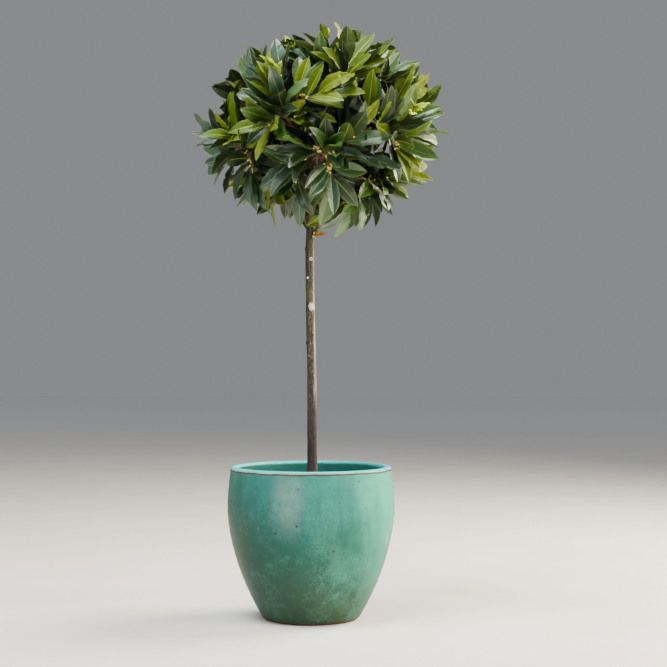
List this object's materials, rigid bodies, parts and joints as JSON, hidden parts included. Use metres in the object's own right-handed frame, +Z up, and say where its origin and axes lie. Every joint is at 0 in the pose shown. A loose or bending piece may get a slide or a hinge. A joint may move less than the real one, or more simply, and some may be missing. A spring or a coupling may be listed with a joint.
{
  "type": "potted standard bay tree",
  "caption": "Standard bay tree in its planter: a round head of pointed evergreen leaves on one clear stem, in a tall rounded glazed pot filled with compost.",
  "frame": {"origin": "centre of the pot's flat underside, which stands on the ground", "axes": "+Z up along the stem, -Y the front that the picture shows, +X to the right of it"},
  "size_m": [0.646, 0.5626, 1.482],
  "materials": {
    "glaze": "sea-green glaze, half gloss, with pale patches and small pits",
    "compost": "dark loose compost",
    "bark": "dull grey-brown bark",
    "foliage": "dark green leathery leaves, half gloss"
  },
  "bodies": {
    "root": {"pot": "glaze", "compost": "compost", "trunk": "bark", "bough_01": "bark", "bough_02": "bark", "bough_03": "bark", "bough_04": "bark", "bough_05": "bark", "bough_06": "bark", "bough_07": "bark", "bough_08": "bark", "bough_09": "bark", "bough_10": "bark", "bough_11": "bark", "leaves_01": "foliage", "leaves_02": "foliage", "leaves_03": "foliage", "leaves_04": "foliage", "leaves_05": "foliage", "leaves_06": "foliage", "leaves_07": "foliage", "leaves_08": "foliage", "leaves_09": "foliage", "leaves_10": "foliage", "leaves_11": "foliage", "leaves_12": "foliage"}
  },
  "joints": []
}
